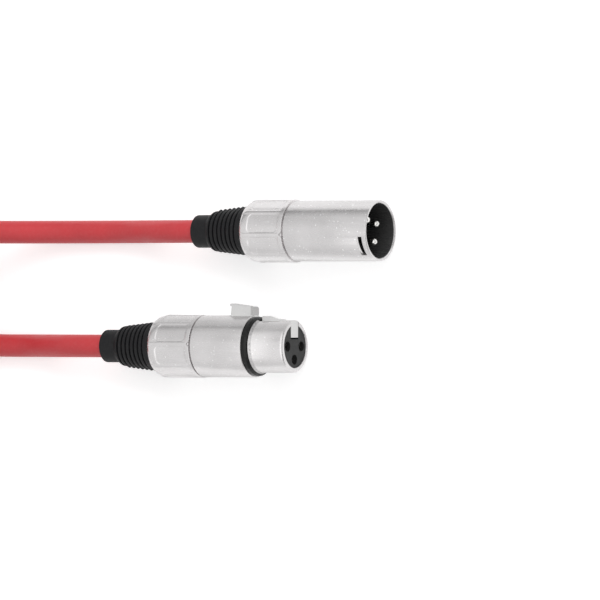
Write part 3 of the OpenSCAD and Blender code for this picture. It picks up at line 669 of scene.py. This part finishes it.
def softened(name, node, width):
    """A copy of a CAD node, its loose faces joined and its sharp edges rounded by a narrow bevel."""
    mesh = nodes[node].data.copy()
    mesh.name = name
    bm = bmesh.new()
    bm.from_mesh(mesh)
    bmesh.ops.remove_doubles(bm, verts=bm.verts, dist=join_gap)
    bmesh.ops.dissolve_limit(bm, angle_limit=flat_angle, verts=bm.verts, edges=bm.edges)
    bm.to_mesh(mesh)
    bm.free()
    mesh.shade_smooth()
    piece = bpy.data.objects.new(name, mesh)
    bpy.context.scene.collection.objects.link(piece)
    bevel = piece.modifiers.new("round_edges", "BEVEL")
    bevel.width = width
    bevel.segments = 3
    bevel.limit_method = "ANGLE"
    bevel.angle_limit = sharp_angle
    bevel.harden_normals = True
    bevel.use_clamp_overlap = True
    return piece


def opened(material):
    """A finished material's node tree, the inputs of its surface, and the socket that gives its colour."""
    slots = material.node_tree.nodes["Principled BSDF"].inputs
    return material.node_tree, slots, slots["Base Color"].links[0].from_socket


# The bead in front of the gasket is scuffed by the sockets it has been in: a dull plate with dark marks.
gasket_low, gasket_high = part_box("female_gasket")
bead_rear = gasket_high.x - 0.3 * mm
bead_front = gasket_high.x + 1.1 * mm
bead_fade = 0.2 * mm
plate_fade = 0.1 * mm
scuff_scale = 1900
scuff_dark = (0.14, 0.14, 0.14, 1)
scuff_rough = 0.3
tree, slots, plate_color = opened(shell_nickel)
plate_rough = slots["Roughness"].links[0].from_socket
place = shader_node(tree, "TexCoord").outputs["Object"]
along = split(tree, place)["X"]
behind = spread(tree, along, 1, 0, bead_front - bead_fade, bead_front)
ahead = spread(tree, along, 0, 1, bead_rear, bead_rear + plate_fade)
scuffs = spread(tree, fine_noise(tree, place, scuff_scale, 5), 0.3, 0.65, 0.5, 0.68)
marks = multiplied(tree, behind, ahead, scuffs)
feed(tree, slots["Base Color"], blend_colors(tree, marks, plate_color, scuff_dark))
feed(tree, slots["Roughness"], combine(tree, "ADD", plate_rough, multiplied(tree, marks, scuff_rough)))
female_front = softened("female_front_shell", "female_shell", shell_edge)
paint(female_front, shell_nickel)

# The male shell's plate is a little greyer and has more painted glints. It stops at the socket: nearer the
# axis than the bore's wall its colour is painted shade, black and not metal.
bore_shade_r = 8.3 * mm
bore_shade_black = (0.04, 0.04, 0.04, 1)
male_nickel = {**nickel, "Color": (0.70, 0.684, 0.686, 1), "Glints": 1.0}
bore_shaded_nickel = finish_material("nickel_with_bore_shade", plated, male_nickel, nickel_depth)
tree, slots, plate_color = opened(bore_shaded_nickel)
from_axis = shader_node(tree, "VectorMath", operation="SUBTRACT")
from_axis.inputs[1].default_value = (0, male_y, axis_height)
feed(tree, from_axis.inputs[0], shader_node(tree, "TexCoord").outputs["Object"])
flattened = shader_node(tree, "VectorMath", operation="MULTIPLY")
flattened.inputs[1].default_value = (0, 1, 1)
feed(tree, flattened.inputs[0], from_axis.outputs[0])
distance = shader_node(tree, "VectorMath", operation="LENGTH")
feed(tree, distance.inputs[0], flattened.outputs[0])
# Painted shade: inside the bore's radius the colour is black and the surface is not metal.
outside_bore_shade = spread(tree, distance.outputs["Value"], 0, 1, bore_shade_r, bore_shade_r + plate_fade)
feed(tree, slots["Base Color"], blend_colors(tree, outside_bore_shade, bore_shade_black, plate_color))
feed(tree, slots["Metallic"], outside_bore_shade)
male_front = softened("male_front_shell", "male_shell", shell_edge)
paint(male_front, bore_shaded_nickel)
for shell, node in ((male_front, "male_shell"), (female_front, "female_shell")):
    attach(shell, "cable")
    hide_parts(node)

# ---- Collars ----
# The collar screws into the shell's rear and grips the cable. It is cast with eight flat-bottomed grip
# panels between ribs, a dome at its rear and a notch at the seam that marks the rib above contact one.
collar_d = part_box("male_collar")[1].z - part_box("male_collar")[0].z
collar_len = 15.8 * mm
spigot_len = 4.4 * mm
spigot_r = 8.5 * mm
collar_bore_r = 7.2 * mm
boot_front_r = 7.55 * mm
lip_front = -14.6 * mm
flange_front = -12.25 * mm
flange_r = 8.15 * mm
dome_len = 3.2 * mm
dome_drop = 1.3 * mm
band_len = 1.6 * mm
panel_count = 8
panel_depth = 0.32 * mm
panel_corner = 1.4 * mm
panel_front = -1.9 * mm
panel_rear = -12.6 * mm
panel_margin = 0.12 * mm
rib_w = 1.1 * mm
rib_fade = 0.8 * mm
notch = 1.25 * mm
notch_depth = 0.5 * mm
notch_edge = 0.08 * mm
notch_line = 0.24 * mm
notch_span = 1.3
seam_gap = 0.29 * mm
soft_edge = 0.2 * mm
front_edge = 0.18 * mm
mouth_edge = 0.15 * mm
spigot_edge = 0.3 * mm
fit_gap = 0.05 * mm
least_wall = 0.2 * mm
band_start = 0.04 * mm
band_end = 0.12 * mm
band_drop = 0.02 * mm
grip_start = 0.1 * mm
edge_steps = 5
band_rows = 20
grip_rows = 110
dome_rows = 21
collar_columns = 256
notch_columns = 64


def turned_points(profile, a, seam, y, shape):
    """The profile [along, radius] turned to the angles a, where shape(along, radius, angle) is the radius."""
    along, radius = profile[:, :1], profile[:, 1:]
    radius = shape(along, radius, a[None, :])
    x = seam + along + np.zeros(len(a))
    return np.stack([x, y + radius * np.cos(a), axis_height + radius * np.sin(a)], -1)


def angle_from(centre, angle):
    """How far an angle lies from a centre, between minus and plus half a turn."""
    return (angle - centre + np.pi) % (2 * np.pi) - np.pi


def add_turned(name, profile, angles, seam, y, shape):
    """A closed turned piece, its flat faces kept flat where they meet its small round edges."""
    points = turned_points(profile, angles, seam, y, shape)
    piece = new_piece(name, points, grid_faces(len(profile), len(angles), True))
    turn_outward(piece)
    piece.modifiers.new("flat_faces", "WEIGHTED_NORMAL")
    return piece


def collar_angles(turn):
    """Even angles over the circle, with closer ones over the notch."""
    near = turn + notch_span * notch / (collar_d / 2) * np.linspace(-1, 1, notch_columns)
    far = even_angles(collar_columns) + turn
    clear = np.abs(angle_from(turn, far)) > near[-1] - turn
    return np.sort(np.concatenate([near, far[clear]]) % (2 * np.pi))


def collar_profile():
    """Closed outline: band, grip, dome, the mouth for the boot, its groove, the bore and the spigot."""
    r = collar_d / 2
    body = r - panel_depth / 2
    front_corner = [[-seam_gap, spigot_r], [-seam_gap, r], [-band_len / 2, r]]
    front = rounded_outline(front_corner, front_edge, edge_steps)[edge_steps : 2 * edge_steps]
    band = np.linspace(-seam_gap - front_edge - band_start, band_end - band_len, band_rows)
    grip = np.linspace(-band_len - grip_start, dome_len - collar_len, grip_rows)
    t = np.linspace(0, np.pi / 2, dome_rows + 1)[1:]
    dome = np.stack([dome_len - collar_len - dome_len * np.sin(t), body - dome_drop * (1 - np.cos(t))], 1)
    inside = [
        [-collar_len, boot_front_r + mouth_edge], [-collar_len + mouth_edge, boot_front_r],
        [lip_front, boot_front_r], [lip_front, flange_r], [flange_front, flange_r],
        [flange_front, collar_bore_r], [spigot_len, collar_bore_r], [spigot_len, spigot_r - spigot_edge],
        [spigot_len - spigot_edge, spigot_r], [fit_gap, spigot_r], [-seam_gap, spigot_r],
    ]
    return np.vstack([
        front, np.stack([band, np.full(band_rows, r)], 1), [[-band_len, r - band_drop]],
        np.stack([grip, np.full(grip_rows, body)], 1), dome, inside,
    ])


def collar_shape(turn):
    """Panels sunk into the grip and ribs raised between them, both with soft cast edges, and the notch."""

    def shape(along, radius, angle):
        r = collar_d / 2
        least = np.where(along > -band_len, spigot_r + fit_gap, r - dome_drop - least_wall)
        outside = (radius > least) & (along <= -seam_gap)
        pitch = 2 * np.pi / panel_count
        off_rib = ((angle - turn + pitch / 2) % pitch - pitch / 2) * r
        off_panel = ((angle - turn) % pitch - pitch / 2) * r
        rib = ramp((rib_w / 2 + soft_edge / 2 - np.abs(off_rib)) / soft_edge)
        rib = rib * ramp((-band_len - along) / soft_edge + 1) * ramp((along + collar_len) / rib_fade)
        half_w = (pitch * r - rib_w) / 2 - panel_margin - panel_corner
        half_l = (panel_front - panel_rear) / 2 - panel_corner
        middle = (panel_front + panel_rear) / 2
        du = np.clip(np.abs(off_panel) - half_w, 0, None)
        dv = np.clip(np.abs(along - middle) - half_l, 0, None)
        panel = ramp((panel_corner - np.hypot(du, dv)) / soft_edge)
        grip = np.where(along < -band_len - fit_gap, panel_depth / 2 * (rib - panel), 0)
        off_notch = angle_from(turn, angle)
        reach = notch - np.abs(off_notch) * r + along
        nick = ramp(reach / notch_edge) - ramp((reach - notch_line) / notch_edge)
        nick = notch_depth * nick * (np.abs(off_notch) < 1)
        return radius + np.where(outside, grip - nick, 0)

    return shape


collar_turns = {"male": math.radians(97.5), "female": math.radians(85.7)}
plug_places = {"male": (male_seam, male_y), "female": (female_seam, female_y)}
for plug, (seam, y) in plug_places.items():
    turn = collar_turns[plug]
    collar = add_turned(
        f"{plug}_grip_collar", collar_profile(), collar_angles(turn), seam, y, collar_shape(turn)
    )
    paint(collar, satin_nickel)
    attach(collar, "cable")
    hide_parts(f"{plug}_collar")

# ---- Boots ----
# The boot is moulded rubber that snaps into the collar's mouth by a flange. It tapers to a plain sleeve
# round the cord, and seven round-bottomed grooves let it bend. Its ribs have nubs where the mould parts.
boot_len = 19.6 * mm
boot_rear = -collar_len - boot_len
boot_rib_r = 6.1 * mm
boot_sleeve_r = 5 * mm
boot_sleeve_len = 6.6 * mm
boot_outside_r = 7.5 * mm
groove_count = 7
groove_pitch = 1.57 * mm
groove_w = 0.55 * mm
groove_depth = 0.6 * mm
first_groove = boot_sleeve_len + 0.5 * mm
crown = 0.1 * mm
nub_rise = 0.4 * mm
nub_reach = math.radians(12)
far_nub = 0.35
boot_bore_r = cord_d / 2 + fit_gap
bore_edge = 0.2 * mm
sleeve_edge = 0.5 * mm
slope_len = 1.3 * mm
slope_edge = 0.35 * mm
cone_start = boot_sleeve_len + 0.4 * mm
nose_len = 1.5 * mm
boot_steps = 6
cone_rows = 340
boot_columns = 160
groove_round = 0.6


def groove_place(along):
    """Whether places along the boot are in its grooved length, how far they lie in front of the start of the
    groove behind them, and how far over the rib in front of that groove, from 0 to 1."""
    turn = (along - first_groove) / groove_pitch
    local = (turn % 1) * groove_pitch
    return (turn >= 0) & (turn < groove_count), local, (local - groove_w) / (groove_pitch - groove_w)


def boot_profile():
    """Closed outline from the sleeve's rear end: sleeve, slope, ribbed cone, flange, nose and bore."""
    n = boot_steps
    sleeve = [[0, boot_bore_r], [0, boot_sleeve_r], [boot_sleeve_len / 2, boot_sleeve_r]]
    slope = [
        [boot_sleeve_len / 2, boot_sleeve_r], [boot_sleeve_len - slope_len, boot_sleeve_r],
        [boot_sleeve_len, boot_rib_r], [boot_len, boot_outside_r],
    ]
    s = np.linspace(cone_start, boot_len, cone_rows)
    cone = boot_rib_r + (boot_outside_r - boot_rib_r) * (s - boot_sleeve_len) / (boot_len - boot_sleeve_len)
    grooved, local, land = groove_place(s)
    cut = np.sin(np.pi * np.clip(local / groove_w, 0, 1)).clip(0) ** groove_round
    swell = np.where(local >= groove_w, crown * (1 - np.abs(2 * land - 1) ** 4) - crown, -crown)
    radius = cone - np.where(grooved, groove_depth * cut - swell, 0)
    flange_rear = flange_front - fit_gap - boot_rear
    nose_end = flange_front + nose_len - boot_rear
    front = [
        [lip_front - boot_rear, boot_outside_r], [lip_front - boot_rear, flange_r - fit_gap],
        [flange_rear, flange_r - fit_gap], [flange_rear, collar_bore_r - fit_gap],
        [nose_end, collar_bore_r - fit_gap], [nose_end, boot_bore_r], [bore_edge, boot_bore_r],
    ]
    return np.vstack([
        rounded_outline(sleeve, sleeve_edge, n)[n : 2 * n], rounded_outline(slope, slope_edge, n)[n : 3 * n],
        np.stack([s, radius], 1), front,
    ])


def boot_shape(side):
    """Ribs raised to small nubs where the mould parts: on that side, and lower ones opposite."""

    def shape(along, radius, angle):
        grooved, _, land = groove_place(along)
        off = np.abs(angle_from(side, angle))
        nub = ramp(1 - off / nub_reach) + far_nub * ramp(1 - (np.pi - off) / nub_reach)
        rise = nub_rise * np.sin(np.pi * np.clip(land, 0, 1)) * nub
        return radius + np.where(grooved & (radius > boot_sleeve_r), rise, 0)

    return shape


nub_sides = {"male": 0, "female": np.pi}
boot_skin = {
    "Color": (0.005, 0.005, 0.006, 1), "Dust Color": (0.03, 0.03, 0.03, 1), "Dust": 0.2, "Roughness": 0.6,
    "Grain": 2800,
}
rubber_black = finish_material("boot_rubber", moulded, boot_skin, 0.02 * mm, Specular_IOR_Level=0.3)
for plug, (seam, y) in plug_places.items():
    boot = add_turned(
        f"{plug}_ribbed_boot", boot_profile(), even_angles(boot_columns), seam + boot_rear, y,
        boot_shape(nub_sides[plug]),
    )
    paint(boot, rubber_black)
    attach(boot, "cable")
    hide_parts(f"{plug}_boot")

# ---- Inserts and contacts ----
# Each plug's contacts stand in a glass-filled nylon insert, black and slightly rough. The pins and the
# sleeves are turned brass with a bright silver plate, and each has a cup behind for its conductor.
insert_skin = {
    "Color": (0.010, 0.010, 0.010, 1), "Dust Color": (0.04, 0.04, 0.04, 1), "Dust": 0.2, "Roughness": 0.5,
    "Grain": 4200,
}
insert_black = finish_material("insert_nylon", moulded, insert_skin, 0.012 * mm, Specular_IOR_Level=0.4)
for node in ("male_insert", "female_insert"):
    paint(nodes[node], insert_black)
silver = {"Color": (0.86, 0.85, 0.83, 1), "Glints": 0.2, "Roughness": 0.16, "Streaks": (6000, 200, 200)}
contact_silver = finish_material("contact_silver", plated, silver, 0.003 * mm, Metallic=1.0)
for plug in plug_places:
    for number in (1, 2, 3):
        paint(nodes[f"{plug}_contact_{number}"], contact_silver)

# ---- Gasket ----
# A soft black ring sits on the nose against the shell's shoulder and takes up play between mated plugs.
# It is squeezed a little unevenly, so its outside isn't quite round.
gasket_r = (gasket_high.z - gasket_low.z) / 2
gasket_inner = 8.05 * mm
gasket_len = gasket_high.x - gasket_low.x
gasket_slope = 0.62
gasket_drop = 0.5 * mm
gasket_edge = 0.16 * mm
gasket_steps = 6
gasket_step = 0.12 * mm
gasket_columns = 160
gasket_wander = 0.09 * mm


def gasket_shape(along, radius, angle):
    """Slow waves in the radius, only on the outside."""
    wave = np.sin(3 * angle + 0.6) + 0.6 * np.sin(7 * angle) + 0.4 * np.sin(17 * angle + 2)
    wave = wave + 0.3 * np.sin(41 * angle)
    return radius - np.where(radius > gasket_inner + least_wall, gasket_wander * (1 + wave / 2), 0)


gasket_corners = [
    [0, gasket_inner], [0, gasket_r], [gasket_len * gasket_slope, gasket_r],
    [gasket_len, gasket_r - gasket_drop], [gasket_len, gasket_inner],
]
gasket_outline = filled(rounded_outline(gasket_corners, gasket_edge, gasket_steps), gasket_step)
gasket = add_turned(
    "nose_gasket", gasket_outline, even_angles(gasket_columns), gasket_low.x, female_y, gasket_shape
)
gasket_skin = {
    "Color": (0.004, 0.004, 0.004, 1), "Dust Color": (0.05, 0.05, 0.05, 1), "Dust": 0.2, "Roughness": 0.22,
    "Grain": 1800,
}
gasket_rubber = finish_material("gasket_rubber", moulded, gasket_skin, 0.04 * mm, Specular_IOR_Level=0.3)
paint(gasket, gasket_rubber)
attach(gasket, "cable")
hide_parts("female_gasket")

# ---- Latch ----
# One zinc lever holds mated plugs together: a thumb tab with a toothed top, an arm through the shell's
# slot, a hook on the nose and a front block on a steel pin. A small coil spring lifts the tab.
latch_skin = {"Color": (0.72, 0.715, 0.71, 1), "Glints": 0.4, "Roughness": 0.33, "Streaks": (700, 700, 700)}
latch_nickel = finish_material("latch_nickel", plated, latch_skin, 0.005 * mm, Metallic=1.0)
lever_edge = 0.1 * mm
lever = softened("thumb_latch", "latch_lever", lever_edge)
paint(lever, latch_nickel)

# The tab's front face has painted shade: its colour is a darker grey than the rest of the lever.
tab_h = 3.5 * mm
tooth_h = 1.2 * mm
front_shade_depth = 0.12 * mm
front_shade_fade = 0.07 * mm
tab_fade = 0.2 * mm
front_shade_grey = (0.52, 0.515, 0.51, 1)
lever_points = np.empty(len(lever.data.vertices) * 3)
lever.data.vertices.foreach_get("co", lever_points)
lever_points = lever_points.reshape(-1, 3)
tab_top = lever_points[:, 1].max()
tab_front = lever_points[lever_points[:, 1] > tab_top - tooth_h, 0].max()
tree, slots, plate_color = opened(latch_nickel)
way = split(tree, shader_node(tree, "TexCoord").outputs["Object"])
front_shade_rear = tab_front - front_shade_depth
fore = spread(tree, way["X"], 0, 1, front_shade_rear, front_shade_rear + front_shade_fade)
above = spread(tree, way["Y"], 0, 1, tab_top - tab_h - tab_fade, tab_top - tab_h)
# Painted shade on the tab's front face.
front_shade = multiplied(tree, fore, above)
feed(tree, slots["Base Color"], blend_colors(tree, front_shade, plate_color, front_shade_grey))
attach(lever, "latch")
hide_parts("latch_lever")

steel = {"Color": (0.55, 0.55, 0.56, 1), "Glints": 0.1, "Roughness": 0.25, "Streaks": (4000, 4000, 400)}
drawn_steel = finish_material("drawn_steel", plated, steel, 0.003 * mm, Metallic=1.0)
paint(nodes["latch_pin"], drawn_steel)

# The spring is a helix whose end turns lie flatter, wound from round wire.
spring_coils = 4
coil_steps = 40
wire_sides = 12
spring_wire = 0.4 * mm
spring_low, spring_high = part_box("latch_spring")
spring_middle = np.array((spring_low + spring_high) / 2)
spring_r = (spring_high.x - spring_low.x) / 2 - spring_wire / 2
spring_rise = spring_high.y - spring_low.y - spring_wire
spring_turn = np.linspace(0, spring_coils * 2 * np.pi, spring_coils * coil_steps + 1)
spring_away = np.stack([np.cos(spring_turn), np.zeros(len(spring_turn)), -np.sin(spring_turn)], 1)
spring_path = spring_middle + spring_r * spring_away
spring_path[:, 1] = spring_low.y + spring_wire / 2 + spring_rise * ramp(spring_turn / spring_turn[-1])
spring_points = swept(spring_path, spring_away, spring_wire / 2, wire_sides)
spring_faces = grid_faces(len(spring_path), wire_sides) + end_faces(len(spring_path), wire_sides)
spring = new_piece("return_spring", spring_points, spring_faces)
paint(spring, drawn_steel)
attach(spring, "cable")
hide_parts("latch_spring")
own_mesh(spring)

# ---- Strain relief and conductors ----
# Inside each collar a slotted nylon chuck closes on the cord as the collar is screwed in. In front of it
# the jacket ends, and three insulated conductors spread to the contacts' cups.
chuck_skin = {
    "Color": (0.72, 0.68, 0.56, 1), "Dust Color": (0.5, 0.46, 0.38, 1), "Dust": 0.2, "Roughness": 0.5,
    "Grain": 2400,
}
wire_skin = {
    "Color": (0.78, 0.78, 0.75, 1), "Dust Color": (0.5, 0.5, 0.48, 1), "Dust": 0.15, "Roughness": 0.4,
    "Grain": 2000,
}
chuck_nylon = finish_material("chuck_nylon", moulded, chuck_skin, 0.01 * mm)
jacket_end_red = finish_material("jacket_end_red", moulded, red_skin, red_depth)
wire_jacket = finish_material("wire_jacket", moulded, wire_skin, 0.008 * mm)
for plug in plug_places:
    paint(nodes[f"{plug}_chuck"], chuck_nylon)
    paint(nodes[f"{plug}_cable_end"], jacket_end_red)
    paint(nodes[f"{plug}_wires"], wire_jacket)
